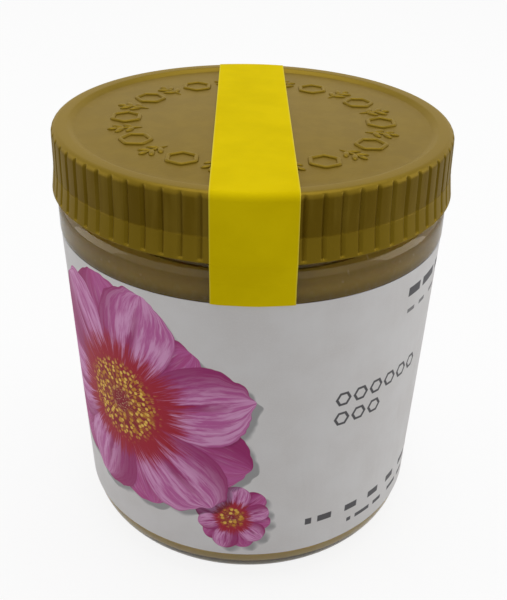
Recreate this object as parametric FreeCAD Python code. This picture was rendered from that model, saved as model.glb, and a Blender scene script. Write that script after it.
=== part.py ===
"""Honey jar: a filled glass jar with a ribbed screw lid, a wrap-round paper label and a paper seal strip.

Millimetres, +Z up.  The origin is the centre of the base, on the surface that the jar stands on.
The seal strip runs over the lid from the front, -Y, to the back, +Y.
"""
import FreeCAD, Part
import math
import os

Vector = FreeCAD.Vector
UP = Vector(0, 0, 1)

# Glass jar.  Radii are of the outside unless the name says otherwise.
HEEL_ROUND = 8.4             # radius of the rounding between the base and the side
FOOT_RING_WIDTH = 3.6        # the flat ring that the jar stands on
PUNT_HEIGHT = 1.0            # how far the middle of the base is domed up
PANEL_TOP_R = 42.65          # the label panel is a cone
PANEL_FLARE = 2.2            # how much wider it is at the top than at its foot
PANEL_EDGE_STEP = 0.25       # the panel stands this far outside the heel
PANEL_HEIGHT = 67.3
BAND_STEP = 0.3              # the shoulder band stands this far outside the panel
BAND_HEIGHT = 4.15           # upright part of the shoulder band
SHOULDER_ROUND = 2.8
SHOULDER_WIDTH = 3.4         # from the band in to the neck
NECK_HEIGHT = 12.6           # shoulder to sealing rim
RIM_ROUND = 0.8              # both edges of the sealing rim
WALL = 3.0
NECK_WALL = 3.0
BASE_THICKNESS = 3.6
INNER_HEEL_ROUND = 6.4
INNER_SHOULDER_HEIGHT = 5.0

# Honey.
HONEY_CLEARANCE = 0.05       # between the honey and the inside of the glass
HONEY_LEVEL_DROP = 3.0       # the level stands this far below the top of the shoulder

# Lid.
LID_GAP = 1.3                # between the shoulder and the lid's lower edge
LID_NECK_CLEARANCE = 1.9     # between the neck and the inside of the skirt, all round
LID_WALL = 1.7               # thickness of the skirt where its foot begins, ribs included
LID_PANEL_THICKNESS = 1.5
LID_RIM_RISE = 0.8           # the rim stands this far above the panel
LID_RIM_SLOPE = 1.2          # width of the slope from the rim down to the panel
LID_RIM_WIDTH = 3.4          # from the lid's side to the top of that slope
LID_EDGE_ROUND = 1.4
LID_DRAFT = 0.15             # how much the skirt widens from the top edge down to its foot
LID_FOOT_HEIGHT = 5.0        # the foot of the skirt flares more than the rest
LID_FOOT_FLARE = 0.65
RIB_COUNT = 72
GROOVE_DEPTH = 0.5
GROOVE_WIDTH = 1.3

# Paper label and seal strip.
PAPER = 0.15
GLUE = 0.02                  # between the paper and what it is stuck to
LABEL_MARGIN = 0.2           # bare panel above and below the label
LABEL_BACK_GAP = 24.0        # between the label's ends, at the back
STRIP_WIDTH = 16.2
STRIP_TURN = 0.86            # degrees that the strip lies askew
STRIP_OFFSET = -0.3          # the strip's middle from the jar's axis, along X

# Heights and radii that follow from the values above.
PANEL_FOOT_R = PANEL_TOP_R - PANEL_FLARE
HEEL_R = PANEL_FOOT_R - PANEL_EDGE_STEP
PANEL_FOOT_Z = HEEL_ROUND + PANEL_EDGE_STEP
PANEL_TOP_Z = PANEL_FOOT_Z + PANEL_HEIGHT
PANEL_SLOPE = PANEL_FLARE / PANEL_HEIGHT
BAND_R = PANEL_TOP_R + BAND_STEP
BAND_TOP_Z = PANEL_TOP_Z + BAND_STEP + BAND_HEIGHT
SHOULDER_Z = BAND_TOP_Z + SHOULDER_ROUND
JAR_HEIGHT = SHOULDER_Z + NECK_HEIGHT
NECK_R = BAND_R - SHOULDER_WIDTH
NECK_BORE_R = NECK_R - NECK_WALL
LID_EDGE_Z = SHOULDER_Z + LID_GAP
LID_FOOT_Z = LID_EDGE_Z + LID_FOOT_HEIGHT
LID_PANEL_Z = JAR_HEIGHT + LID_PANEL_THICKNESS
LID_TOP_Z = LID_PANEL_Z + LID_RIM_RISE
LID_ROUND_Z = LID_TOP_Z - LID_EDGE_ROUND
LID_BORE_R = NECK_R + LID_NECK_CLEARANCE
LID_FOOT_R = LID_BORE_R + LID_WALL
LID_EDGE_R = LID_FOOT_R + LID_FOOT_FLARE
LID_TOP_R = LID_FOOT_R - LID_DRAFT
LABEL_FOOT_Z = PANEL_FOOT_Z + LABEL_MARGIN
LABEL_TOP_Z = PANEL_TOP_Z - LABEL_MARGIN


def panel_radius(z):
    """Radius of the label panel's cone at a height."""
    return PANEL_FOOT_R + (z - PANEL_FOOT_Z) * PANEL_SLOPE


def arc(centre, radius, start, end):
    """An arc step for turned(): its middle and its end, from angles in degrees."""
    def at(angle):
        return (centre[0] + radius * math.cos(math.radians(angle)),
                centre[1] + radius * math.sin(math.radians(angle)))
    return at((start + end) / 2), at(end)


def turned(start, steps):
    """The solid that a closed outline of radii and heights sweeps about the jar's axis.

    A step is the next corner, or an arc's middle and its end.
    """
    def place(point):
        return Vector(point[0], 0, point[1])
    edges = []
    here = start
    for step in steps + [start]:
        if isinstance(step[0], tuple):
            middle, there = step
            edges.append(Part.Arc(place(here), place(middle), place(there)).toShape())
        else:
            there = step
            edges.append(Part.LineSegment(place(here), place(there)).toShape())
        here = there
    return Part.Face(Part.Wire(edges)).revolve(Vector(0, 0, 0), UP, 360)


def inside_of_glass(offset):
    """Start and steps of the jar's inside, drawn in by an offset, from the floor up to the neck."""
    floor_z = BASE_THICKNESS + offset
    heel = INNER_HEEL_ROUND - offset
    side_foot_z = floor_z + heel
    side_foot_r = panel_radius(side_foot_z) - WALL - offset
    side_top_z = SHOULDER_Z - INNER_SHOULDER_HEIGHT
    side_top_r = panel_radius(side_top_z) - WALL - offset
    return (0, floor_z), [
        (side_foot_r - heel, floor_z),
        arc((side_foot_r - heel, side_foot_z), heel, -90, 0),
        (side_top_r, side_top_z),
        (NECK_BORE_R - offset, SHOULDER_Z),
    ]


def make_glass_jar():
    """Base, heel, label panel, shoulder band and plain neck, hollowed out from above."""
    foot_r = HEEL_R - HEEL_ROUND
    ring_r = foot_r - FOOT_RING_WIDTH
    outside = turned((0, PUNT_HEIGHT), [
        ((ring_r * 0.5, PUNT_HEIGHT * 0.75), (ring_r, 0)),
        (foot_r, 0),
        arc((foot_r, HEEL_ROUND), HEEL_ROUND, -90, 0),
        (PANEL_FOOT_R, PANEL_FOOT_Z),
        (PANEL_TOP_R, PANEL_TOP_Z),
        (BAND_R, PANEL_TOP_Z + BAND_STEP),
        (BAND_R, BAND_TOP_Z),
        arc((BAND_R - SHOULDER_ROUND, BAND_TOP_Z), SHOULDER_ROUND, 0, 90),
        (NECK_R, SHOULDER_Z),
        (NECK_R, JAR_HEIGHT - RIM_ROUND),
        arc((NECK_R - RIM_ROUND, JAR_HEIGHT - RIM_ROUND), RIM_ROUND, 0, 90),
        (0, JAR_HEIGHT),
    ])
    start, steps = inside_of_glass(0)
    hollow = turned(start, steps + [
        (NECK_BORE_R, JAR_HEIGHT - RIM_ROUND),
        arc((NECK_BORE_R + RIM_ROUND, JAR_HEIGHT - RIM_ROUND), RIM_ROUND, 180, 90),
        (NECK_BORE_R + RIM_ROUND, JAR_HEIGHT + RIM_ROUND),
        (0, JAR_HEIGHT + RIM_ROUND),
    ])
    return outside.cut(hollow)


def make_honey():
    """The filling, up to its level inside the shoulder."""
    level = SHOULDER_Z - HONEY_LEVEL_DROP
    start, steps = inside_of_glass(HONEY_CLEARANCE)
    neck_r, neck_z = steps.pop()
    side_r, side_z = steps[-1]
    level_r = side_r + (neck_r - side_r) * (level - side_z) / (neck_z - side_z)
    return turned(start, steps + [(level_r, level), (0, level)])


def make_groove():
    """The cutter of one V groove between two ribs, which runs out on the lid's rounded edge."""
    reach = 1.0
    half_width = GROOVE_WIDTH / 2 * (1 + reach / GROOVE_DEPTH)
    draft = LID_DRAFT / (LID_ROUND_Z - LID_FOOT_Z)
    flare = LID_FOOT_FLARE / LID_FOOT_HEIGHT
    top_z = LID_TOP_Z
    sections = []
    for surface_r, z in (
        (LID_FOOT_R - (top_z - LID_FOOT_Z) * draft, top_z),
        (LID_FOOT_R, LID_FOOT_Z),
        (LID_EDGE_R + reach * flare, LID_EDGE_Z - reach),
    ):
        sections.append(Part.makePolygon([
            Vector(surface_r - GROOVE_DEPTH, 0, z),
            Vector(surface_r + reach, half_width, z),
            Vector(surface_r + reach, -half_width, z),
            Vector(surface_r - GROOVE_DEPTH, 0, z),
        ]))
    return Part.makeLoft(sections, True, True)


def make_lid():
    """The screw lid: sunk top panel, raised rim, ribbed skirt with a flared foot, hollow underneath."""
    slope_top_r = LID_TOP_R - LID_RIM_WIDTH
    round_r = LID_TOP_R - LID_EDGE_ROUND
    blank = turned((0, LID_PANEL_Z), [
        (slope_top_r - LID_RIM_SLOPE, LID_PANEL_Z),
        (slope_top_r, LID_TOP_Z),
        (round_r, LID_TOP_Z),
        arc((round_r, LID_ROUND_Z), LID_EDGE_ROUND, 90, 0),
        (LID_FOOT_R, LID_FOOT_Z),
        (LID_EDGE_R, LID_EDGE_Z),
        (LID_BORE_R, LID_EDGE_Z),
        (LID_BORE_R, JAR_HEIGHT),
        (0, JAR_HEIGHT),
    ])
    groove = make_groove()
    grooves = []
    for index in range(RIB_COUNT):
        cutter = groove.copy()
        cutter.rotate(Vector(0, 0, 0), UP, (index + 0.5) * 360 / RIB_COUNT)
        grooves.append(cutter)
    return blank.cut(Part.makeCompound(grooves))


def make_label():
    """The paper label, wrapped round the panel and open at the back."""
    foot_r = panel_radius(LABEL_FOOT_Z) + GLUE
    top_r = panel_radius(LABEL_TOP_Z) + GLUE
    wrap = turned((foot_r, LABEL_FOOT_Z), [
        (foot_r + PAPER, LABEL_FOOT_Z),
        (top_r + PAPER, LABEL_TOP_Z),
        (top_r, LABEL_TOP_Z),
    ])
    gap = Part.makeBox(LABEL_BACK_GAP, 2 * BAND_R, JAR_HEIGHT, Vector(-LABEL_BACK_GAP / 2, 0, 0))
    return wrap.cut(gap)


def strip_form(offset):
    """What the strip is bent over, grown by an offset: lid top, lid edge, and a taut run to the glass."""
    round_r = LID_TOP_R - LID_EDGE_ROUND
    return turned((0, LABEL_TOP_Z), [
        (BAND_R + offset, LABEL_TOP_Z),
        (BAND_R + offset, BAND_TOP_Z),
        (LID_EDGE_R + offset, LID_EDGE_Z),
        (LID_TOP_R + offset, LID_ROUND_Z),
        arc((round_r, LID_ROUND_Z), LID_EDGE_ROUND + offset, 0, 90),
        (0, LID_TOP_Z + offset),
    ])


def make_seal_strip():
    """The paper strip: flat over the lid, bent down at its rim, and taut over the ribs to the glass."""
    sheet = strip_form(GLUE + PAPER).cut(strip_form(GLUE))
    length = 4 * BAND_R
    ribbon = Part.makeBox(STRIP_WIDTH, length, 2 * JAR_HEIGHT, Vector(-STRIP_WIDTH / 2, -length / 2, 0))
    ribbon.rotate(Vector(0, 0, 0), UP, STRIP_TURN)
    ribbon.translate(Vector(STRIP_OFFSET, 0, 0))
    return sheet.common(ribbon)


def main():
    pieces = {
        "glass_jar": make_glass_jar(),
        "honey": make_honey(),
        "lid": make_lid(),
        "label": make_label(),
        "seal_strip": make_seal_strip(),
    }
    os.makedirs("parts", exist_ok=True)
    for name, shape in pieces.items():
        shape.exportStep("parts/" + name + ".step")
        print(name, "valid" if shape.isValid() else "NOT VALID", "solids", len(shape.Solids),
              "volume %.1f cm3" % (shape.Volume / 1000))


main()
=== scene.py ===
"""Honey jar: the jar, its filling, the ribbed lid, the printed label and the paper seal strip.

Sizes are millimetres, turned into metres where a mesh is made.  +Z is up, the front faces -Y.
"""
import math

import bmesh
import bpy
from mathutils import Matrix, Vector

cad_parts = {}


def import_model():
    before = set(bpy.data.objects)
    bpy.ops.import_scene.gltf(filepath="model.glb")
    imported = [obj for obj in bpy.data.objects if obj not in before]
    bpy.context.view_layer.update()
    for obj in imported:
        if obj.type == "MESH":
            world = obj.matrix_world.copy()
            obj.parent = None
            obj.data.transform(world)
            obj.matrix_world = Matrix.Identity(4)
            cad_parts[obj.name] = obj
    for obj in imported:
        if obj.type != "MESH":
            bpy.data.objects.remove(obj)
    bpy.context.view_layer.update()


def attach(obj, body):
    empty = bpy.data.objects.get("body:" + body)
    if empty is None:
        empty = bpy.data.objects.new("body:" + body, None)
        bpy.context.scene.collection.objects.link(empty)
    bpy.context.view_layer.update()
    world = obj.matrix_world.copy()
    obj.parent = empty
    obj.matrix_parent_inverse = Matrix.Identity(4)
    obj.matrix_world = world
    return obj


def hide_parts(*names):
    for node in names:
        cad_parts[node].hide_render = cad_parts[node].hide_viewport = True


MM = 0.001
FULL_TURN = 2 * math.pi

# Glass jar
FOOT_R = 31.8
FOOT_RING_R = 28.2
PUNT_RISE = 1.0
HEEL_ROUND = 8.4
HEEL_R = 40.2
PANEL_FOOT_R = 40.45
PANEL_TOP_R = 42.65
PANEL_FOOT_Z = 8.65
PANEL_TOP_Z = 75.95
BAND_R = 42.95
BAND_FOOT_Z = 76.25
BAND_TOP_Z = 80.4
SHOULDER_ROUND = 2.8
SHOULDER_Z = 83.2
NECK_R = 39.55
BORE_R = 36.55
JAR_HEIGHT = 95.8
RIM_ROUND = 0.8
GLASS_WALL = 3.0
FLOOR_Z = 3.6
INNER_HEEL_ROUND = 6.4
INNER_SIDE_TOP_Z = 78.2

# Filling
HONEY_LEVEL = 80.2
HONEY_BITE = 0.3

# Lid
RIBS = 72
GROOVE_DEPTH = 0.5
GROOVE_HALF = 0.65
GROOVE_BLUNTING = 0.05
RIB_CROWN = 0.06
LID_PANEL_Z = 97.3
LID_PANEL_R = 38.4
LID_TOP_Z = 98.1
LID_SLOPE_TOP_R = 39.6
LID_EDGE_ROUND = 1.4
LID_ROUND_R = 41.6
LID_ROUND_Z = 96.7
LID_TOP_R = 43.0
LID_FOOT_R = 43.15
LID_FOOT_Z = 89.5
LID_EDGE_R = 43.8
LID_EDGE_Z = 84.5
LID_BORE_R = 41.45

# Paper
PAPER = 0.15
GLUE = 0.02
LABEL_FOOT_Z = 8.85
LABEL_TOP_Z = 75.75
LABEL_BACK_HALF = 12.0
LABEL_MEAN_R = 41.7
STRIP_HALF = 8.1
STRIP_TURN = math.radians(0.86)
STRIP_OFFSET = -0.3
STRIP_FLAT_ROWS = 60
CREASE_DEPTH = 0.16

# Raised ring on the lid
MOTIFS = 24
MOTIF_RING_R = 27.6
CELL_R = 3.2
CELL_CORNER_R = 0.7
CELL_STROKE = 1.05
RELIEF_HEIGHT = 0.42

# Print, along the flat label from its middle and up from its foot
BLOSSOM_FROM = -68
BLOSSOM_TO = 13
SMALL_BLOSSOM = (-3.5, 11.5)
SMALL_BLOSSOM_REACH = 9.5
LARGE_BLOSSOM = (-30.0, 36.5)
LARGE_BLOSSOM_REACH = 31.0
PETALS = 6

# Setting; the camera is in millimetres, lamps and floor in metres
CAMERA_STAND = (0.0, -182.8, 158.3)
CAMERA_AIM = (6.39, 0.0, 52.3)
CAMERA_ROLL = math.radians(1.97)
CAMERA_LENS = 52.2
CAMERA_SHIFT = -0.04
LAMP_AIM = (0, 0, 0.05)
ROOM_LIGHT = 0.40
ROOM_SEEN_EXTRA = 0.60
FLOOR_HALF = 3.0
FLOOR_GREY = 0.72
FLOOR_GLOW = 1.06
FLOOR_GLOW_SHARE = 0.82
FLOOR_MIRROR_REACH = 0.05


# ---------------------------------------------------------------- node graphs

class Graph:
    """Adds nodes to one material, world or geometry tree."""

    def __init__(self, tree):
        self.tree = tree

    def node(self, kind, settings=None, values=None):
        made = self.tree.nodes.new(kind)
        for name, value in (settings or {}).items():
            setattr(made, name, value)
        for key, value in (values or {}).items():
            self.feed(made.inputs[key], value)
        return made

    def feed(self, socket, value):
        if isinstance(value, Wire):
            value = value.socket
        if isinstance(value, bpy.types.NodeSocket):
            self.tree.links.new(value, socket)
        else:
            socket.default_value = value

    def wire(self, made, output=0):
        return Wire(self, made.outputs[output])

    def point(self, x, y, z=0.0):
        return self.node("ShaderNodeCombineXYZ", None, {0: x, 1: y, 2: z}).outputs[0]

    def blend(self, amount, first, second):
        """Colour that goes from first to second."""
        made = self.node("ShaderNodeMix", {"data_type": "RGBA"}, {0: amount, 6: first, 7: second})
        return made.outputs[2]

    def shade(self, amount, colour, factor):
        """Colour multiplied by another."""
        made = self.node("ShaderNodeMix", {"data_type": "RGBA", "blend_type": "MULTIPLY"},
                         {0: amount, 6: colour, 7: factor})
        return made.outputs[2]

    def noise(self, vector, scale, detail=3.0, roughness=0.5):
        made = self.node("ShaderNodeTexNoise", None, {
            "Vector": vector, "Scale": scale, "Detail": detail, "Roughness": roughness})
        return self.wire(made)

    def chance(self, x, y=0.0, z=0.0):
        """A fixed random number for each whole x, y and z."""
        place = self.point(x, y, z)
        return self.wire(self.node("ShaderNodeTexWhiteNoise", None, {"Vector": place}))


class Wire:
    """A number that runs between nodes; expressions on it add Math nodes."""

    def __init__(self, graph, socket):
        self.graph = graph
        self.socket = socket

    def math(self, operation, *terms):
        made = self.graph.node("ShaderNodeMath", {"operation": operation}, dict(enumerate(terms)))
        return Wire(self.graph, made.outputs[0])

    def __add__(self, other):
        return self.math("ADD", self, other)

    __radd__ = __add__

    def __sub__(self, other):
        return self.math("SUBTRACT", self, other)

    def __rsub__(self, other):
        return self.math("SUBTRACT", other, self)

    def __mul__(self, other):
        return self.math("MULTIPLY", self, other)

    __rmul__ = __mul__

    def __truediv__(self, other):
        return self.math("DIVIDE", self, other)

    def __rtruediv__(self, other):
        return self.math("DIVIDE", other, self)

    def __pow__(self, other):
        return self.math("POWER", self, other)

    def __abs__(self):
        return self.math("ABSOLUTE", self)

    def root(self):
        return self.math("SQRT", self)

    def floor(self):
        return self.math("FLOOR", self)

    def least(self, other):
        return self.math("MINIMUM", self, other)

    def most(self, other):
        return self.math("MAXIMUM", self, other)

    def rise(self, low, high):
        """Goes smoothly from 0 at low to 1 at high."""
        made = self.graph.node("ShaderNodeMapRange", {"interpolation_type": "SMOOTHSTEP"},
                               {0: self, 1: low, 2: high})
        return Wire(self.graph, made.outputs[0])

    def fall(self, low, high):
        """Goes smoothly from 1 at low to 0 at high."""
        return 1 - self.rise(low, high)


class Finish(Graph):
    """A material with one Principled shader."""

    def __init__(self, name, **constants):
        self.material = bpy.data.materials.new(name)
        self.material.use_nodes = True
        super().__init__(self.material.node_tree)
        self.tree.nodes.clear()
        self.shader = self.node("ShaderNodeBsdfPrincipled")
        output = self.node("ShaderNodeOutputMaterial")
        self.feed(output.inputs["Surface"], self.shader.outputs[0])
        for socket, value in constants.items():
            self.set(socket.replace("_", " "), value)
        self.place = self.node("ShaderNodeTexCoord").outputs["Object"]

    def set(self, socket, value):
        self.feed(self.shader.inputs[socket], value)

    def stretched(self, x, y, z):
        """The object's own coordinates, scaled along each axis."""
        made = self.node("ShaderNodeMapping", None, {"Vector": self.place, "Scale": (x, y, z)})
        return made.outputs[0]

    def height(self):
        """Height above the jar's base, in millimetres."""
        return self.wire(self.node("ShaderNodeSeparateXYZ", None, {0: self.place}), 2) / MM

    def wrapped(self):
        """A sheet's own coordinates, each from 0 to 1."""
        wrap = self.node("ShaderNodeUVMap", {"uv_map": "wrap"})
        parts = self.node("ShaderNodeSeparateXYZ", None, {0: wrap.outputs[0]})
        return self.wire(parts, 0), self.wire(parts, 1)

    def bump(self, height, strength, distance, normal=None):
        values = {"Strength": strength, "Distance": distance, "Height": height}
        if normal is not None:
            values["Normal"] = normal
        return self.node("ShaderNodeBump", None, values).outputs[0]


def grey(value):
    return (value, value, value, 1.0)


def colour(red, green, blue):
    return (red, green, blue, 1.0)


# ---------------------------------------------------------------- finishes

def finish_glass():
    """Clear glass with a slight warm tint, faint smears and a wavy surface."""
    f = Finish("clear_glass", Base_Color=colour(0.94, 0.885, 0.72), Transmission_Weight=1.0,
               IOR=1.5, Specular_Tint=colour(1.0, 0.86, 0.62))
    smears = f.noise(f.stretched(1, 1, 0.4), 60, 3.0, 0.6)
    f.set("Roughness", 0.015 + smears.rise(0.55, 0.8) * 0.05)
    waves = f.noise(f.stretched(1, 1, 0.35), 85, 1.0)
    f.set("Normal", f.bump(waves, 0.25, 0.0004))
    return f.material


def finish_honey():
    """Creamed honey: swirled, with crystals and small bubbles; painted light makes it paler at the
    heel and painted shade makes it deeper on top.
    """
    dark = colour(0.47, 0.295, 0.026)
    light = colour(0.58, 0.385, 0.048)
    crystal = colour(0.64, 0.46, 0.14)
    # The next two colours are painted: a paler heel stands in for light, and a deeper top stands in
    # for shade under the lid
    heel = colour(0.80, 0.60, 0.24)
    painted_shade_under_lid = colour(0.27, 0.155, 0.004)
    bubble = colour(0.70, 0.56, 0.28)
    f = Finish("creamed_honey", IOR=1.49, Specular_IOR_Level=0.3, Subsurface_Weight=0.15,
               Subsurface_Scale=0.006)
    swirls = f.noise(f.stretched(1, 1, 2.2), 45, 4.0, 0.55)
    crystals = f.noise(f.place, 900, 2.0, 0.7)
    specks = f.node("ShaderNodeTexVoronoi", None, {"Vector": f.place, "Scale": 420.0})
    body = f.blend(swirls.rise(0.3, 0.7), dark, light)
    body = f.blend(crystals.rise(0.45, 0.75) * 0.5, body, crystal)
    height = f.height()
    # Painted light: paler colour towards the heel, where the jar's own shadow would darken the
    # filling
    low = height.fall(FLOOR_Z + 1.5, FLOOR_Z + 8.0) * 0.8
    body = f.blend(low, body, heel)
    # Painted shade: deeper colour on top, where the lid shades the filling
    high = height.rise(INNER_SIDE_TOP_Z - 2.2, INNER_SIDE_TOP_Z + 0.8) * 0.6
    body = f.blend(high, body, painted_shade_under_lid)
    bubbles = f.wire(specks).fall(0.05, 0.16) * 0.35
    f.set("Base Color", f.blend(bubbles, body, bubble))
    f.set("Roughness", 0.45 + crystals * 0.25)
    f.set("Normal", f.bump(crystals, 0.2, 0.0001))
    return f.material


def finish_lid():
    """Gold plastic: clouded, streaked down the ribs and scuffed, with painted light on the foot and
    a painted sheen on top.
    """
    dark = colour(0.126, 0.076, 0.003)
    light = colour(0.160, 0.100, 0.006)
    streak = colour(0.21, 0.140, 0.016)
    scuff = colour(0.30, 0.225, 0.07)
    # The next two colours are painted: a lighter foot stands in for the light it catches, and a
    # lighter top for sheen
    painted_light_foot_gold = colour(0.235, 0.155, 0.010)
    painted_sheen_top_gold = colour(0.29, 0.195, 0.018)
    f = Finish("lid_plastic", Metallic=0.42, Specular_IOR_Level=0.2,
               Specular_Tint=colour(1.0, 0.79, 0.2))
    clouds = f.noise(f.place, 38, 4.0, 0.55)
    flow = f.noise(f.stretched(1, 1, 0.15), 210, 3.0, 0.6)
    grain = f.noise(f.place, 2600, 2.0, 0.6)
    base = f.blend(clouds.rise(0.3, 0.7), dark, light)
    height = f.height()
    streaks = flow.rise(0.42, 0.62) * height.fall(LID_ROUND_Z, LID_TOP_Z) * 0.5
    base = f.blend(streaks, base, streak)
    scuffs = f.noise(f.stretched(3, 1, 1), 160, 5.0, 0.7).rise(0.63, 0.78) * 0.3
    base = f.blend(scuffs, base, scuff)
    # Painted light: lighter gold on the foot band
    foot = height.fall(LID_FOOT_Z - 0.15, LID_FOOT_Z + 0.05) * 0.7
    base = f.blend(foot, base, painted_light_foot_gold)
    # Painted sheen: lighter gold over the rounded rim and the top
    top = height.rise(LID_ROUND_Z, LID_TOP_Z - 0.3) * 0.42
    base = f.blend(top, base, painted_sheen_top_gold)
    f.set("Base Color", base)
    f.set("Roughness", 0.30 + clouds * 0.12 + scuffs * 0.2)
    f.set("Normal", f.bump(grain, 0.22, 0.00012))
    return f.material


def petals(f, across, up, centre, reach, count, turn, width, seed, soft=0.25):
    """One ring of petals about a centre: how far a place is covered, and where on a petal it is."""
    right = across - centre[0]
    above = up - centre[1]
    radius = (right * right + above * above).root()
    sector = above.math("ARCTAN2", above, right) * (count / FULL_TURN) + (turn + count)
    index = sector.floor()
    index = index - (index / count).floor() * count
    offset = sector - sector.floor() - 0.5
    long_or_short = f.chance(index, seed)
    leaning = f.chance(index, seed, 5)
    ripple = f.noise(f.point(across * 0.1, up * 0.1, seed), 1.4, 2.0) - 0.5
    length = reach * (0.86 + 0.2 * long_or_short) + ripple * (reach * 0.16)
    along = radius / length
    side = (offset + (leaning - 0.5) * 0.1) * radius * (FULL_TURN / count)
    half = length * width * along ** 0.85 * (1 - (along ** 5).least(1.0)).root()
    cover = (half - abs(side)).rise(0, soft)
    return {"cover": cover, "along": along, "side": side, "half": half, "index": index,
            "radius": radius, "offset": offset, "shade": leaning}


def petal_colour(f, petal, pale, rich, deep, heart, seed):
    """Streaked petal, paler in its middle, deep along one edge and crimson towards the heart."""
    glint = colour(0.88, 0.62, 0.80)
    ratio = petal["side"] / petal["half"].most(0.05)
    streak_at = f.point(ratio * 4.2 + petal["index"] * 7.3, petal["along"] * 1.5, seed)
    streaks = f.noise(streak_at, 2.2, 4.0, 0.62)
    fine_at = f.point(ratio * 15 + petal["index"] * 3.1, petal["along"] * 2.4, seed + 2)
    fine = f.noise(fine_at, 1.6, 3.0, 0.6)
    body = f.blend(streaks.rise(0.38, 0.62), rich, pale)
    body = f.blend(fine.rise(0.5, 0.75) * 0.35, body, glint)
    fold = (ratio + (petal["shade"] - 0.5) * 0.7).rise(0.1, 0.95) * 0.9
    body = f.blend(fold, body, deep)
    rib = abs(ratio + (streaks - 0.5) * 0.5).fall(0.02, 0.16)
    body = f.blend(rib * petal["along"].fall(0.6, 0.98) * 0.85, body, deep)
    edge = (petal["half"] - abs(petal["side"])).fall(0.05, 0.6) * 0.6
    body = f.blend(edge, body, deep)
    inner = (petal["along"] + (fine - 0.5) * 0.45 + (streaks - 0.5) * 0.35).fall(0.42, 0.58)
    return f.blend(inner, body, heart)


def print_blossom(f, paper, across, up, centre, reach, seed, turn):
    """A six-petalled pink blossom over six more petals, with a crimson heart and golden stamens."""
    pale = colour(0.78, 0.36, 0.64)
    rich = colour(0.56, 0.12, 0.37)
    back_rich = colour(0.5, 0.07, 0.27)
    deep = colour(0.34, 0.012, 0.14)
    heart = colour(0.42, 0.010, 0.032)
    heart_middle = colour(0.26, 0.008, 0.02)
    shadow_grey = colour(0.38, 0.39, 0.40)
    veil_tone = colour(0.35, 0.2, 0.3)
    thread_gold = colour(0.66, 0.27, 0.03)
    dark_gold = colour(0.62, 0.27, 0.02)
    light_gold = colour(0.95, 0.62, 0.10)
    pollen_tone = colour(0.72, 0.50, 0.28)

    def petals_back(x, y, soft=0.25):
        return petals(f, x, y, centre, reach * 0.97, PETALS, turn + 0.5, 0.46, seed, soft)

    def petals_front(x, y, soft=0.25):
        return petals(f, x, y, centre, reach, PETALS, turn, 0.50, seed + 1, soft)

    shadow_back = petals_back(across - 1.5, up + 1.4, 2.6)
    shadow_front = petals_front(across - 1.5, up + 1.4, 2.6)
    shadow = shadow_back["cover"].most(shadow_front["cover"]) * 0.8
    made = f.shade(shadow, paper, shadow_grey)
    back = petals_back(across, up)
    front = petals_front(across, up)
    back_colour = petal_colour(f, back, rich, back_rich, deep, heart, seed + 3)
    veil = petals_front(across - 0.5, up + 0.6, 1.8)["cover"]
    back_colour = f.shade(veil * 0.6, back_colour, veil_tone)
    made = f.blend(back["cover"], made, back_colour)
    front_colour = petal_colour(f, front, pale, rich, deep, heart, seed + 4)
    made = f.blend(front["cover"], made, front_colour)

    radius = front["radius"] / reach
    tips = f.node("ShaderNodeTexVoronoi", {"voronoi_dimensions": "2D"},
                  {"Vector": f.point(across, up, seed), "Scale": 0.85, "Randomness": 1.0})
    tip_mask = f.wire(tips).fall(0.26, 0.42)
    tip_place = f.node("ShaderNodeVectorMath", {"operation": "SCALE"},
                       {0: tips.outputs["Position"], 3: 1.7})
    hue = f.chance(f.noise(tip_place.outputs[0], 3.0) * 40)
    threads_at = f.point(front["offset"] * 9 + front["index"] * 5, radius * 2, seed + 8)
    threads = f.noise(threads_at, 3.0, 2.0)
    ring = radius.rise(0.05, 0.14) * (radius + (threads - 0.5) * 0.22).fall(0.25, 0.36)
    middle = radius.fall(0.2, 0.36)
    made = f.blend(middle * 0.8, made, heart_middle)
    made = f.blend(threads.rise(0.5, 0.62) * ring * 0.9, made, thread_gold)
    gold = f.blend(hue.rise(0.2, 0.8), dark_gold, light_gold)
    made = f.blend(tip_mask * ring, made, gold)
    pollen = f.noise(f.point(across, up, seed + 6), 2.6, 2.0).rise(0.57, 0.66)
    return f.blend(pollen * radius.fall(0.05, 0.16) * 0.9, made, pollen_tone)


def word_bars(f, across, up, left, right, foot, lines, pitch, height, word, seed):
    """Rows of plain bars, as long as words, in place of small print.

    They lie between left and right, from foot up.  pitch is the distance between rows, height a
    bar's own height and word the room for one word.
    """
    row = ((up - foot) / pitch).floor()
    rise = up - foot - row * pitch
    run = (across - left) / word + f.chance(row, seed) * 0.8
    cell = run.floor()
    part = (run - cell) * word
    length = word * (0.45 + 0.42 * f.chance(cell, row, seed))
    bar = (length - part).rise(0, 0.22) * part.rise(0, 0.22)
    bar = bar * rise.rise(0, 0.14) * rise.fall(height - 0.14, height)
    end = right - f.chance(row, seed, 3) * (right - left) * 0.3
    inside = (across - left).rise(-0.05, 0.05) * (end - across).rise(-0.1, 0.1)
    top = foot + lines * pitch
    inside = inside * (up - foot).rise(-0.02, 0.02) * (top - up).rise(-0.02, 0.02)
    return bar * inside


def comb_row(across, up, left, foot, count, size, stroke):
    """A row of hexagon outlines."""
    pitch = size * 1.12
    right = left + count * pitch
    cell = ((across - left) / pitch).floor()
    x = abs(across - left - (cell + 0.5) * pitch)
    y = abs(up - (foot + size / 2))
    away = (x * 0.866 + y * 0.5).most(y)
    line = abs(away - (size / 2 - stroke)).fall(stroke * 0.4, stroke * 0.7)
    return line * (across - left).rise(-0.02, 0.02) * (right - across).rise(-0.02, 0.02)


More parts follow.
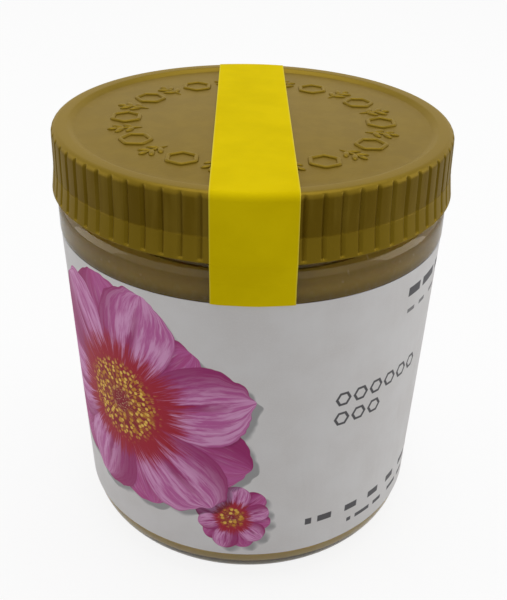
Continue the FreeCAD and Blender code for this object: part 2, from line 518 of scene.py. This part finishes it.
def print_small(f, across, up):
    """Heading and lines of bars, two rows of hexagons and two blocks of small bars."""
    ink = word_bars(f, across, up, left=36.0, right=62.0, foot=60.6, lines=1,
                    pitch=3.2, height=2.3, word=8.5, seed=2)
    below_heading = word_bars(f, across, up, left=36.5, right=60.0, foot=56.4, lines=1,
                              pitch=2.4, height=1.1, word=6.0, seed=3)
    ink = ink.most(below_heading * 0.8)
    ink = ink.most(comb_row(across, up, left=18.0, foot=39.6, count=6, size=3.9, stroke=0.55))
    ink = ink.most(comb_row(across, up, left=18.0, foot=34.4, count=3, size=3.9, stroke=0.55))
    ink = ink.most(word_bars(f, across, up, left=13.4, right=66.0, foot=7.4, lines=1,
                             pitch=3.0, height=2.0, word=7.5, seed=5))
    ink = ink.most(word_bars(f, across, up, left=25.0, right=66.0, foot=3.6, lines=1,
                             pitch=2.6, height=1.3, word=6.5, seed=6))
    left_block = word_bars(f, across, up, left=-100.0, right=-70.0, foot=20.0, lines=11,
                           pitch=3.4, height=1.2, word=6.2, seed=7)
    ink = ink.most(left_block * 0.85)
    right_block = word_bars(f, across, up, left=76.0, right=108.0, foot=12.0, lines=13,
                            pitch=3.4, height=1.2, word=6.2, seed=9)
    return ink.most(right_block * 0.85)


def finish_label(with_blossom):
    """The label's paper with its print: the blossoms on one part, the small print on the rest."""
    f = Finish("label_blossom" if with_blossom else "label_paper", Specular_IOR_Level=0.3)
    u, v = f.wrapped()
    length = 2 * (math.pi - math.asin(LABEL_BACK_HALF / LABEL_MEAN_R)) * LABEL_MEAN_R
    across = (u - 0.5) * length
    up = v * (LABEL_TOP_Z - LABEL_FOOT_Z)
    flat = f.point(across, up)
    fibre = f.noise(flat, 2.4, 4.0, 0.65)
    cloud = f.noise(flat, 0.09, 3.0, 0.5)
    grey_paper = colour(0.735, 0.712, 0.70)
    white_paper = colour(0.78, 0.765, 0.76)
    fibre_white = colour(0.80, 0.785, 0.775)
    ink_black = colour(0.045, 0.043, 0.05)
    paper = f.blend(cloud.rise(0.3, 0.7), grey_paper, white_paper)
    paper = f.blend(fibre.rise(0.4, 0.7) * 0.35, paper, fibre_white)
    if with_blossom:
        made = print_blossom(f, paper, across, up, SMALL_BLOSSOM, SMALL_BLOSSOM_REACH,
                             seed=21, turn=0.2)
        made = print_blossom(f, made, across, up, LARGE_BLOSSOM, LARGE_BLOSSOM_REACH,
                             seed=4, turn=0.28)
    else:
        made = f.blend(print_small(f, across, up) * 0.93, paper, ink_black)
    f.set("Base Color", made)
    f.set("Roughness", 0.42 + fibre * 0.16)
    ripple = f.noise(f.point(across, up * 0.35), 0.16, 2.0)
    f.set("Normal", f.bump(fibre, 0.12, 0.00008, f.bump(ripple, 0.5, 0.0005)))
    return f.material


def finish_strip():
    """Yellow paper with faint clouds and fibres, worn pale along its edges."""
    dark = colour(0.735, 0.555, 0.0)
    light = colour(0.80, 0.61, 0.001)
    fibre_yellow = colour(0.85, 0.68, 0.004)
    worn_yellow = colour(0.86, 0.74, 0.16)
    f = Finish("strip_paper", Specular_IOR_Level=0.02)
    across = abs(f.wrapped()[0] - 0.5) * (2 * STRIP_HALF)
    fibre = f.noise(f.place, 1500, 4.0, 0.65)
    cloud = f.noise(f.place, 90, 3.0, 0.55)
    dye = f.blend(cloud.rise(0.3, 0.7), dark, light)
    dye = f.blend(fibre.rise(0.55, 0.8) * 0.25, dye, fibre_yellow)
    worn = (across + (cloud - 0.5) * 0.25).rise(STRIP_HALF - 0.3, STRIP_HALF - 0.08)
    f.set("Base Color", f.blend(worn * 0.3, dye, worn_yellow))
    f.set("Roughness", 0.62 + fibre * 0.2)
    f.set("Normal", f.bump(fibre, 0.15, 0.0001, f.bump(cloud, 0.3, 0.0006)))
    return f.material


def seen_directly(g, mirror_reach=None):
    """1 for what is seen itself, through glass or mirrored, and 0 for light between matt surfaces.

    With mirror_reach, mirrored places count half, and only nearer the mirror than that.
    """
    path = g.node("ShaderNodeLightPath")
    mirrored = g.wire(path, "Is Glossy Ray")
    if mirror_reach:
        near = g.wire(path, "Ray Length").fall(mirror_reach / 2, mirror_reach)
        mirrored = mirrored * near * 0.5
    seen = g.wire(path, "Is Camera Ray").most(g.wire(path, "Is Transmission Ray")).most(mirrored)
    return seen * g.wire(path, "Diffuse Depth").fall(0.2, 0.8)


def finish_floor():
    """Pale floor whose lit part shows white and whose shadow stays."""
    material = bpy.data.materials.new("pale_floor")
    material.use_nodes = True
    g = Graph(material.node_tree)
    g.tree.nodes.clear()
    matt = g.node("ShaderNodeBsdfDiffuse", None, {"Color": grey(FLOOR_GREY)})
    glow = g.node("ShaderNodeEmission", None, {"Color": grey(1.0), "Strength": FLOOR_GLOW})
    share = seen_directly(g, FLOOR_MIRROR_REACH) * FLOOR_GLOW_SHARE
    mixed = g.node("ShaderNodeMixShader", None,
                   {0: share, 1: matt.outputs[0], 2: glow.outputs[0]})
    output = g.node("ShaderNodeOutputMaterial")
    g.feed(output.inputs["Surface"], mixed.outputs[0])
    return material


# ---------------------------------------------------------------- meshes

def arc(centre, radius, start, end, steps):
    """Corners of an arc, from angles in degrees, both ends included."""
    made = []
    for step in range(steps + 1):
        angle = math.radians(start + (end - start) * step / steps)
        made.append((centre[0] + radius * math.cos(angle), centre[1] + radius * math.sin(angle)))
    return made


def evenly(first, last, steps):
    """Corners along a straight run, the last one left out."""
    run = last[0] - first[0]
    climb = last[1] - first[1]
    return [(first[0] + run * n / steps, first[1] + climb * n / steps) for n in range(steps)]


def mesh_from(name, shape):
    """A new mesh from a bmesh, its doubles merged and its faces turned outward."""
    bmesh.ops.remove_doubles(shape, verts=shape.verts, dist=1e-7)
    bmesh.ops.recalc_face_normals(shape, faces=shape.faces)
    mesh = bpy.data.meshes.new(name)
    shape.to_mesh(mesh)
    shape.free()
    return mesh


def object_from(name, shape, material, crease=35):
    """A new object from a bmesh, smooth up to the crease angle."""
    mesh = mesh_from(name, shape)
    mesh.shade_smooth()
    mesh.set_sharp_from_angle(angle=math.radians(crease))
    mesh.materials.append(material)
    made = bpy.data.objects.new(name, mesh)
    bpy.context.scene.collection.objects.link(made)
    return made


def turned(name, outline, columns, material, crease=35):
    """A closed body turned about the jar's axis from an outline that starts and ends on it."""
    shape = bmesh.new()
    rings = []
    for radius, height in outline:
        if radius < 1e-6:
            rings.append([shape.verts.new((0, 0, height * MM))] * columns)
            continue
        ring = []
        for column in range(columns):
            angle = FULL_TURN * column / columns
            x = radius * math.cos(angle) * MM
            y = radius * math.sin(angle) * MM
            ring.append(shape.verts.new((x, y, height * MM)))
        rings.append(ring)
    for lower, upper in zip(rings, rings[1:]):
        for column in range(columns):
            following = (column + 1) % columns
            corners = [lower[column], lower[following], upper[following], upper[column]]
            distinct = list(dict.fromkeys(corners))
            if len(distinct) > 2:
                shape.faces.new(distinct)
    return object_from(name, shape, material, crease)


def panel_radius(height):
    """Radius of the label panel's cone at a height."""
    slope = (PANEL_TOP_R - PANEL_FOOT_R) / (PANEL_TOP_Z - PANEL_FOOT_Z)
    return PANEL_FOOT_R + (height - PANEL_FOOT_Z) * slope


def inside_outline(bite):
    """The jar's inside, from the middle of its floor to the neck, moved into the glass by bite."""
    floor_z = FLOOR_Z - bite
    heel = INNER_HEEL_ROUND + bite
    foot_z = floor_z + heel
    foot_r = panel_radius(foot_z) - GLASS_WALL + bite
    top_r = panel_radius(INNER_SIDE_TOP_Z) - GLASS_WALL + bite
    made = evenly((0, floor_z), (foot_r - heel, floor_z), 8)
    made += arc((foot_r - heel, foot_z), heel, -90, 0, 12)
    made += evenly((foot_r, foot_z), (top_r, INNER_SIDE_TOP_Z), 14)[1:]
    made += evenly((top_r, INNER_SIDE_TOP_Z), (BORE_R + bite, SHOULDER_Z), 5)
    return made + [(BORE_R + bite, SHOULDER_Z)]


def honey_outline():
    """The filling's outline, with a slightly sunken top."""
    made = [corner for corner in inside_outline(HONEY_BITE) if corner[1] < HONEY_LEVEL - 0.2]
    last_r, last_z = made[-1]
    side_r = last_r + (HONEY_LEVEL - last_z) * (BORE_R - last_r) / (SHOULDER_Z - last_z)
    meniscus = [(side_r, 0.0), (side_r - 0.6, 0.05), (side_r - 1.6, 0.35)]
    top = [(side_r - 4, 0.5), (24, 0.6), (12, 0.65), (0, 0.6)]
    return made + [(radius, HONEY_LEVEL - drop) for radius, drop in meniscus + top]


def make_glass(material):
    """Blown glass with a domed base, rounded heel, sunk label panel, shoulder and plain neck."""
    outside = []
    for step in range(8):
        radius = FOOT_RING_R * step / 8
        outside.append((radius, PUNT_RISE * (1 - (step / 8) ** 2)))
    outside += [(FOOT_RING_R, 0.06), (FOOT_RING_R + 0.5, 0.0), (FOOT_R - 0.6, 0.0)]
    outside += arc((FOOT_R, HEEL_ROUND), HEEL_ROUND, -90, 0, 22)
    outside += [(HEEL_R + 0.02, HEEL_ROUND + 0.02), (HEEL_R + 0.12, HEEL_ROUND + 0.08),
                (HEEL_R + 0.22, HEEL_ROUND + 0.18)]
    outside += evenly((PANEL_FOOT_R, PANEL_FOOT_Z), (PANEL_TOP_R, PANEL_TOP_Z), 24)
    outside += [(PANEL_TOP_R, PANEL_TOP_Z), (PANEL_TOP_R + 0.06, PANEL_TOP_Z + 0.04),
                (BAND_R - 0.06, BAND_FOOT_Z - 0.08), (BAND_R, BAND_FOOT_Z + 0.05)]
    outside += evenly((BAND_R, BAND_FOOT_Z + 0.6), (BAND_R, BAND_TOP_Z), 4)
    outside += arc((BAND_R - SHOULDER_ROUND, BAND_TOP_Z), SHOULDER_ROUND, 0, 90, 12)
    outside += [(NECK_R + 0.3, SHOULDER_Z), (NECK_R + 0.09, SHOULDER_Z + 0.09),
                (NECK_R, SHOULDER_Z + 0.3)]
    outside += evenly((NECK_R, SHOULDER_Z + 1), (NECK_R, JAR_HEIGHT - RIM_ROUND), 4)
    outside += arc((NECK_R - RIM_ROUND, JAR_HEIGHT - RIM_ROUND), RIM_ROUND, 0, 90, 6)
    outside += arc((BORE_R + RIM_ROUND, JAR_HEIGHT - RIM_ROUND), RIM_ROUND, 90, 180, 6)
    return turned("glass_body", outside + inside_outline(0)[::-1], 288, material)


def make_honey(material):
    """The creamed filling, a little way into the glass so that no air shows between them."""
    return turned("honey_filling", honey_outline(), 192, material)


# ---------------------------------------------------------------- lid

def lid_outline():
    """Radius, height and share of the groove's depth for each corner of the lid's outline.

    It runs from the middle of the panel over the rim and down, and back up inside.
    """
    made = [(r, LID_PANEL_Z, 0.0) for r in (0, 6, 12, 18, 24, 30, 36, LID_PANEL_R - 0.35)]
    made += [(LID_PANEL_R - 0.1, LID_PANEL_Z + 0.03, 0.0),
             (LID_PANEL_R + 0.15, LID_PANEL_Z + 0.14, 0.0),
             (LID_SLOPE_TOP_R - 0.25, LID_TOP_Z - 0.15, 0.0),
             (LID_SLOPE_TOP_R, LID_TOP_Z - 0.04, 0.0),
             (LID_SLOPE_TOP_R + 0.3, LID_TOP_Z, 0.0)]
    for r, z in arc((LID_ROUND_R, LID_ROUND_Z), LID_EDGE_ROUND, 90, 0, 12):
        made.append((r, z, max(0.0, 1 - (LID_TOP_R - r) / GROOVE_DEPTH)))
    slope = (LID_FOOT_R - LID_TOP_R) / (LID_ROUND_Z - LID_FOOT_Z)
    for depth in (0.5, 1.2, 2.5, 3.8, 5.1, 6.3, 6.9):
        made.append((LID_TOP_R + depth * slope, LID_ROUND_Z - depth, 1.0))
    made += [(LID_FOOT_R + 0.01, LID_FOOT_Z + 0.06, 1.0),
             (LID_FOOT_R + 0.07, LID_FOOT_Z - 0.04, 1.0)]
    flare = (LID_EDGE_R - LID_FOOT_R) / (LID_FOOT_Z - LID_EDGE_Z)
    for drop, groove in ((0.6, 1.0), (1.7, 1.0), (2.9, 1.0), (4.0, 1.0),
                         (4.3, 0.9), (4.45, 0.4), (4.6, 0.0)):
        made.append((LID_FOOT_R + drop * flare, LID_FOOT_Z - drop, groove))
    made += [(LID_EDGE_R - 0.01, LID_EDGE_Z + 0.2, 0.0),
             (LID_EDGE_R - 0.07, LID_EDGE_Z + 0.07, 0.0),
             (LID_EDGE_R - 0.22, LID_EDGE_Z, 0.0),
             (LID_BORE_R + 0.3, LID_EDGE_Z, 0.0),
             (LID_BORE_R + 0.08, LID_EDGE_Z + 0.08, 0.0),
             (LID_BORE_R, LID_EDGE_Z + 0.3, 0.0)]
    made += [(LID_BORE_R, z, 0.0) for z in (87.0, 90.0, 93.0, 95.3)]
    made += [(LID_BORE_R - 0.3, JAR_HEIGHT - 0.1, 0.0), (LID_BORE_R - 0.8, JAR_HEIGHT, 0.0)]
    return made + [(20, JAR_HEIGHT, 0.0), (0, JAR_HEIGHT, 0.0)]


def rib_wedge():
    """One rib with half a groove on each side, as a slice of the whole lid from its axis out."""
    half_pitch = math.pi / RIBS
    shape = bmesh.new()
    half_width = LID_TOP_R * half_pitch
    side = (0.0, 0.25, 0.45, 0.58, 0.64, 0.655, 0.70, 0.78, 0.86, 0.93, 0.98, 1.0)
    stations = [-station for station in side[:0:-1]] + list(side)
    columns = []
    for station in stations:
        from_groove = (1 - abs(station)) * half_width
        cut = GROOVE_DEPTH * max(0.0, 1 - from_groove / GROOVE_HALF)
        if from_groove == 0:
            cut -= GROOVE_BLUNTING
        crown = RIB_CROWN * station * station
        angle = station * half_pitch - math.pi / 2
        column = []
        for radius, height, groove in lid_outline():
            at = (radius - groove * max(cut, crown)) * MM
            corner = (at * math.cos(angle), at * math.sin(angle), height * MM)
            column.append(shape.verts.new(corner))
        columns.append(column)
    for left, right in zip(columns, columns[1:]):
        for row in range(len(left) - 1):
            shape.faces.new([left[row], left[row + 1], right[row + 1], right[row]])
    return mesh_from("rib_wedge", shape)


def grown(name, start, tree, inputs, crease=35):
    """The plain mesh object that a geometry tree makes from a starting mesh."""
    source = bpy.data.objects.new(name, start)
    bpy.context.scene.collection.objects.link(source)
    modifier = source.modifiers.new("grow", "NODES")
    modifier.node_group = tree
    for item in tree.interface.items_tree:
        if item.in_out == "INPUT" and item.name in inputs:
            modifier[item.identifier] = inputs[item.name]
    source.update_tag()
    result = source.evaluated_get(bpy.context.evaluated_depsgraph_get())
    mesh = bpy.data.meshes.new_from_object(result)
    source.modifiers.remove(modifier)
    source.data = mesh
    mesh.name = name
    mesh.shade_smooth()
    mesh.set_sharp_from_angle(angle=math.radians(crease))
    return source


def new_tree(name, sockets):
    """An empty geometry tree with named inputs, and its input and output nodes."""
    tree = bpy.data.node_groups.new(name, "GeometryNodeTree")
    tree.interface.new_socket(name="Geometry", in_out="INPUT", socket_type="NodeSocketGeometry")
    for socket, kind in sockets:
        tree.interface.new_socket(name=socket, in_out="INPUT", socket_type=kind)
    tree.interface.new_socket(name="Geometry", in_out="OUTPUT", socket_type="NodeSocketGeometry")
    g = Graph(tree)
    return tree, g, g.node("NodeGroupInput"), g.node("NodeGroupOutput")


def make_lid(material):
    """The ribbed lid: one slice, repeated about the axis and joined up."""
    tree, g, given, result = new_tree("ribbed_lid", [
        ("Ribs", "NodeSocketInt"), ("Join", "NodeSocketFloat"), ("Plastic", "NodeSocketMaterial")])
    ribs = g.wire(given, "Ribs")
    line = g.node("GeometryNodeMeshLine", None, {"Count": ribs, "Offset": (0.0, 0.0, 0.0)})
    index = g.wire(g.node("GeometryNodeInputIndex"))
    turn = g.point(0.0, 0.0, index * FULL_TURN / ribs)
    placed = g.node("GeometryNodeInstanceOnPoints", None,
                    {"Points": line.outputs[0], "Instance": given.outputs["Geometry"],
                     "Rotation": turn})
    real = g.node("GeometryNodeRealizeInstances", None, {0: placed.outputs[0]})
    joined = g.node("GeometryNodeMergeByDistance", None,
                    {"Geometry": real.outputs[0], "Distance": g.wire(given, "Join")})
    painted = g.node("GeometryNodeSetMaterial", None,
                     {"Geometry": joined.outputs[0], "Material": given.outputs["Plastic"]})
    g.feed(result.inputs[0], painted.outputs[0])
    inputs = {"Ribs": RIBS, "Join": 1e-6, "Plastic": material}
    return grown("lid_shell", rib_wedge(), tree, inputs, crease=28)


def leaf_sprig():
    """A small raised sprig: a stem with two pairs of leaves and one at its tip, lying along Y."""
    stem = ((0, 0.0), 90, 7.0, 0.38, 0.40)
    tip = ((0, 2.9), 90, 2.2, 0.62, 0.52)
    leaves = [stem]
    for foot, angle in ((-1.5, 38), (-1.5, 142), (0.6, 42), (0.6, 138)):
        across = 1.45 * math.cos(math.radians(angle))
        along = foot + 1.45 * math.sin(math.radians(angle))
        leaves.append(((across, along), angle, 3.1, 0.66, 0.52))
    leaves.append(tip)
    shape = bmesh.new()
    for (x, y), angle, length, half_width, height in leaves:
        made = bmesh.ops.create_uvsphere(shape, u_segments=14, v_segments=8, radius=1.0)["verts"]
        size = Matrix.Diagonal((length / 2 * MM, half_width * MM, height * MM, 1))
        turn = Matrix.Rotation(math.radians(angle), 4, "Z")
        place = Matrix.Translation((x * MM, y * MM, 0))
        bmesh.ops.transform(shape, matrix=place @ turn @ size, verts=made)
    mesh = bpy.data.meshes.new("leaf_sprig")
    shape.to_mesh(mesh)
    shape.free()
    return mesh


def make_lid_relief(material):
    """A ring of raised honeycomb cells and sprigs on the lid's panel."""
    tree, g, given, result = new_tree("lid_relief", [
        ("Motifs", "NodeSocketInt"), ("Ring radius", "NodeSocketFloat"),
        ("Cell radius", "NodeSocketFloat"), ("Stroke", "NodeSocketFloat"),
        ("Height", "NodeSocketFloat"), ("Panel height", "NodeSocketFloat"),
        ("Plastic", "NodeSocketMaterial")])
    motifs = g.wire(given, "Motifs")
    ring = g.node("GeometryNodeMeshCircle", None,
                  {"Vertices": motifs, "Radius": g.wire(given, "Ring radius")})
    index = g.wire(g.node("GeometryNodeInputIndex"))
    turn = g.point(0.0, 0.0, index * FULL_TURN / motifs - math.pi / 2)
    cell_line = g.node("GeometryNodeCurvePrimitiveCircle", None,
                       {"Resolution": 6, "Radius": g.wire(given, "Cell radius")})
    rounded = g.node("GeometryNodeFilletCurve", {"mode": "POLY"},
                     {"Curve": cell_line.outputs[0], "Count": 3, "Radius": CELL_CORNER_R * MM})
    profile = g.node("GeometryNodeCurvePrimitiveCircle", None,
                     {"Resolution": 10, "Radius": g.wire(given, "Stroke") * 0.5})
    cell = g.node("GeometryNodeCurveToMesh", None,
                  {"Curve": rounded.outputs[0], "Profile Curve": profile.outputs[0]})
    odd = g.node("FunctionNodeCompare", {"data_type": "FLOAT", "operation": "GREATER_THAN"},
                 {0: index - (index / 2).floor() * 2, 1: 0.5})
    even = g.node("FunctionNodeBooleanMath", {"operation": "NOT"}, {0: odd.outputs[0]})
    cells = g.node("GeometryNodeInstanceOnPoints", None,
                   {"Points": ring.outputs[0], "Selection": even.outputs[0],
                    "Instance": cell.outputs[0], "Rotation": turn})
    sprigs = g.node("GeometryNodeInstanceOnPoints", None,
                    {"Points": ring.outputs[0], "Selection": odd.outputs[0],
                     "Instance": given.outputs["Geometry"], "Rotation": turn})
    both = g.node("GeometryNodeJoinGeometry")
    g.feed(both.inputs[0], cells.outputs[0])
    g.feed(both.inputs[0], sprigs.outputs[0])
    real = g.node("GeometryNodeRealizeInstances", None, {0: both.outputs[0]})
    place = g.node("GeometryNodeInputPosition")
    parts = g.node("ShaderNodeSeparateXYZ", None, {0: place.outputs[0]})
    lowered = g.wire(parts, 2) * g.wire(given, "Height") / (g.wire(given, "Stroke") * 0.5)
    flat = g.point(g.wire(parts, 0), g.wire(parts, 1), lowered + g.wire(given, "Panel height"))
    sunk = g.node("GeometryNodeSetPosition", None, {"Geometry": real.outputs[0], "Position": flat})
    painted = g.node("GeometryNodeSetMaterial", None,
                     {"Geometry": sunk.outputs[0], "Material": given.outputs["Plastic"]})
    g.feed(result.inputs[0], painted.outputs[0])
    inputs = {"Motifs": MOTIFS, "Ring radius": MOTIF_RING_R * MM, "Cell radius": CELL_R * MM,
              "Stroke": CELL_STROKE * MM, "Height": RELIEF_HEIGHT * MM,
              "Panel height": LID_PANEL_Z * MM, "Plastic": material}
    return grown("lid_relief", leaf_sprig(), tree, inputs, crease=60)


# ---------------------------------------------------------------- paper

def sheet(name, columns, rows, place, material):
    """A thin closed sheet.  place(u, v, side) gives a point, side being 0 inside and 1 outside."""
    shape = bmesh.new()
    wrap = shape.loops.layers.uv.new("wrap")
    spots = {}

    def grid(side):
        made = []
        for u in range(columns + 1):
            column = []
            for v in range(rows + 1):
                corner = shape.verts.new(place(u / columns, v / rows, side) * MM)
                spots[corner] = (u / columns, v / rows)
                column.append(corner)
            made.append(column)
        return made

    def face(*corners):
        for loop in shape.faces.new(corners).loops:
            loop[wrap].uv = spots[loop.vert]

    inner = grid(0)
    outer = grid(1)
    for u in range(columns):
        for v in range(rows):
            for layer in (inner, outer):
                face(layer[u][v], layer[u + 1][v], layer[u + 1][v + 1], layer[u][v + 1])
    for u in range(columns):
        for v in (0, rows):
            face(inner[u][v], inner[u + 1][v], outer[u + 1][v], outer[u][v])
    for v in range(rows):
        for u in (0, columns):
            face(inner[u][v], inner[u][v + 1], outer[u][v + 1], outer[u][v])
    return object_from(name, shape, material, 50)


def make_label(paper, blossom):
    """The label, wrapped round the panel with its ends apart and slightly lifted at the back."""
    def place(u, v, side):
        height = LABEL_FOOT_Z + (LABEL_TOP_Z - LABEL_FOOT_Z) * v
        radius = panel_radius(height) + GLUE + PAPER * side
        angle = (u - 0.5) * 2 * (math.pi - math.asin(LABEL_BACK_HALF / radius))
        ripple = 0.03 * (1 + math.sin(angle * 9 + v * 4)) * math.sin(math.pi * v)
        end = abs(u - 0.5) * 2
        end_lift = 0.12 * max(0.0, (end - 0.985) / 0.015) ** 2
        radius += ripple + end_lift
        return Vector((radius * math.sin(angle), -radius * math.cos(angle), height))

    label = sheet("paper_label", 380, 28, place, paper)
    label.data.materials.append(blossom)
    for face in label.data.polygons:
        angle = math.atan2(face.center.x, -face.center.y)
        along = angle * LABEL_MEAN_R
        face.material_index = 1 if BLOSSOM_FROM < along < BLOSSOM_TO else 0
    return label


def strip_stations():
    """Radii and heights of the strip's inner side, from its lower end up to the flat of the lid."""
    made = [(BAND_R, z) for z in (LABEL_TOP_Z, 76.8, 77.9, 79.0, 79.9)]
    made += [(BAND_R + 0.03, 80.4), (BAND_R + 0.14, 81.0)]
    made += evenly((BAND_R + 0.30, 81.8), (LID_EDGE_R - 0.06, 84.2), 3)
    made += [(LID_EDGE_R - 0.03, 84.3), (LID_EDGE_R, 84.6), (LID_EDGE_R - 0.01, 85.0)]
    made += evenly((LID_EDGE_R - 0.04, 85.6), (LID_TOP_R, LID_ROUND_Z), 12)
    return made + arc((LID_ROUND_R, LID_ROUND_Z), LID_EDGE_ROUND, 0, 90, 14)


def make_seal_strip(material):
    """The strip: stuck to the shoulder, up over the ribs, flat across the lid and down the back."""
    stations = strip_stations()
    last = len(stations) - 1
    rows = 2 * last + STRIP_FLAT_ROWS
    c = math.cos(STRIP_TURN)
    s = math.sin(STRIP_TURN)

    def reach(across, radius, way):
        """How far along the strip a line at across meets the circle of that radius."""
        p = across * c + STRIP_OFFSET
        q = across * s
        k = q * c - p * s
        return -k + way * math.sqrt(k * k - (p * p + q * q - radius * radius))

    def spot(across, along, height):
        x = across * c - along * s + STRIP_OFFSET
        y = across * s + along * c
        return Vector((x, y, height))

    def place_flat(across, share, offset):
        front = reach(across, LID_ROUND_R, -1)
        back = reach(across, LID_ROUND_R, 1)
        sag = 0.16 * math.sin(math.pi * share) ** 0.7
        sag += 0.02 * math.sin(share * 21 + across * 0.2) * math.sin(math.pi * share)
        return spot(across, front + (back - front) * share, LID_TOP_Z + offset - sag)

    def place_hanging(across, index, offset, way):
        radius, height = stations[index]
        before = stations[max(index - 1, 0)]
        after = stations[min(index + 1, last)]
        run = Vector((after[0] - before[0], after[1] - before[1])).normalized()
        radius += offset * run.y
        height -= offset * run.x
        if way < 0:
            slant = (across - 1.8 - (height - 95.2) * 0.9) / 1.3
            crease = math.exp(-slant ** 2 - ((height - 95.4) / 0.55) ** 2)
            radius -= CREASE_DEPTH * crease
            if height < 84:
                radius += 0.03 * math.sin(across * 0.9 + 1.0) * (84 - height) / 8
        return spot(across, reach(across, radius, way), height)

    def place(u, v, side):
        across = (u - 0.5) * 2 * STRIP_HALF
        offset = GLUE + PAPER * side
        row = round(v * rows)
        if last < row < last + STRIP_FLAT_ROWS:
            return place_flat(across, (row - last) / STRIP_FLAT_ROWS, offset)
        if row <= last:
            return place_hanging(across, row, offset, -1)
        return place_hanging(across, rows - row, offset, 1)

    return sheet("paper_seal_strip", 48, rows, place, material)


# ---------------------------------------------------------------- setting

def make_camera():
    """The camera, rolled a little about its line of sight."""
    stand = Vector(CAMERA_STAND) * MM
    aim = Vector(CAMERA_AIM) * MM
    ahead = (aim - stand).normalized()
    right = ahead.cross(Vector((0, 0, 1))).normalized()
    above = right.cross(ahead)
    side = right * math.cos(CAMERA_ROLL) + above * math.sin(CAMERA_ROLL)
    top = above * math.cos(CAMERA_ROLL) - right * math.sin(CAMERA_ROLL)
    data = bpy.data.cameras.new("camera")
    data.lens = CAMERA_LENS
    data.sensor_width = 36.0
    data.shift_x = CAMERA_SHIFT
    data.clip_start = 0.01
    camera = bpy.data.objects.new("camera", data)
    bpy.context.scene.collection.objects.link(camera)
    turn = Matrix((side, top, -ahead)).transposed().to_4x4()
    camera.matrix_world = Matrix.Translation(stand) @ turn
    bpy.context.scene.camera = camera


def make_lamp(name, place, width, height, power):
    """A rectangular lamp that faces the jar."""
    data = bpy.data.lights.new(name, "AREA")
    data.shape = "RECTANGLE"
    data.size = width
    data.size_y = height
    data.energy = power
    lamp = bpy.data.objects.new(name, data)
    bpy.context.scene.collection.objects.link(lamp)
    lamp.location = place
    towards = Vector(LAMP_AIM) - Vector(place)
    lamp.rotation_euler = towards.to_track_quat("-Z", "Y").to_euler()


def make_lights():
    """A broad lamp overhead, a soft one on each side and an even room."""
    make_lamp("overhead", (0.05, 0.12, 1.1), width=1.1, height=0.9, power=5.4)
    make_lamp("left", (-0.9, 0.1, 0.35), width=0.6, height=0.6, power=1.2)
    make_lamp("right", (0.9, 0.05, 0.35), width=0.6, height=0.6, power=1.6)
    world = bpy.data.worlds.new("room")
    world.use_nodes = True
    g = Graph(world.node_tree)
    g.tree.nodes.clear()
    strength = ROOM_LIGHT + seen_directly(g) * ROOM_SEEN_EXTRA
    light = g.node("ShaderNodeBackground", None, {"Color": grey(1.0), "Strength": strength})
    output = g.node("ShaderNodeOutputWorld")
    g.feed(output.inputs["Surface"], light.outputs[0])
    bpy.context.scene.world = world


def make_floor():
    shape = bmesh.new()
    bmesh.ops.create_grid(shape, x_segments=2, y_segments=2, size=FLOOR_HALF)
    object_from("floor", shape, finish_floor())


def main():
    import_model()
    bpy.context.scene.view_settings.view_transform = "Standard"
    make_camera()
    make_lights()
    make_floor()
    lid_plastic = finish_lid()
    pieces = [
        (make_glass(finish_glass()), "glass_jar", "clear_glass"),
        (make_honey(finish_honey()), "honey", "creamed_honey"),
        (make_lid(lid_plastic), "lid", "lid_plastic"),
        (make_lid_relief(lid_plastic), None, "lid_plastic"),
        (make_label(finish_label(False), finish_label(True)), "label", "label_paper"),
        (make_seal_strip(finish_strip()), "seal_strip", "strip_paper"),
    ]
    for piece, node, slot in pieces:
        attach(piece, "root")
        if node:
            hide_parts(node)


main()
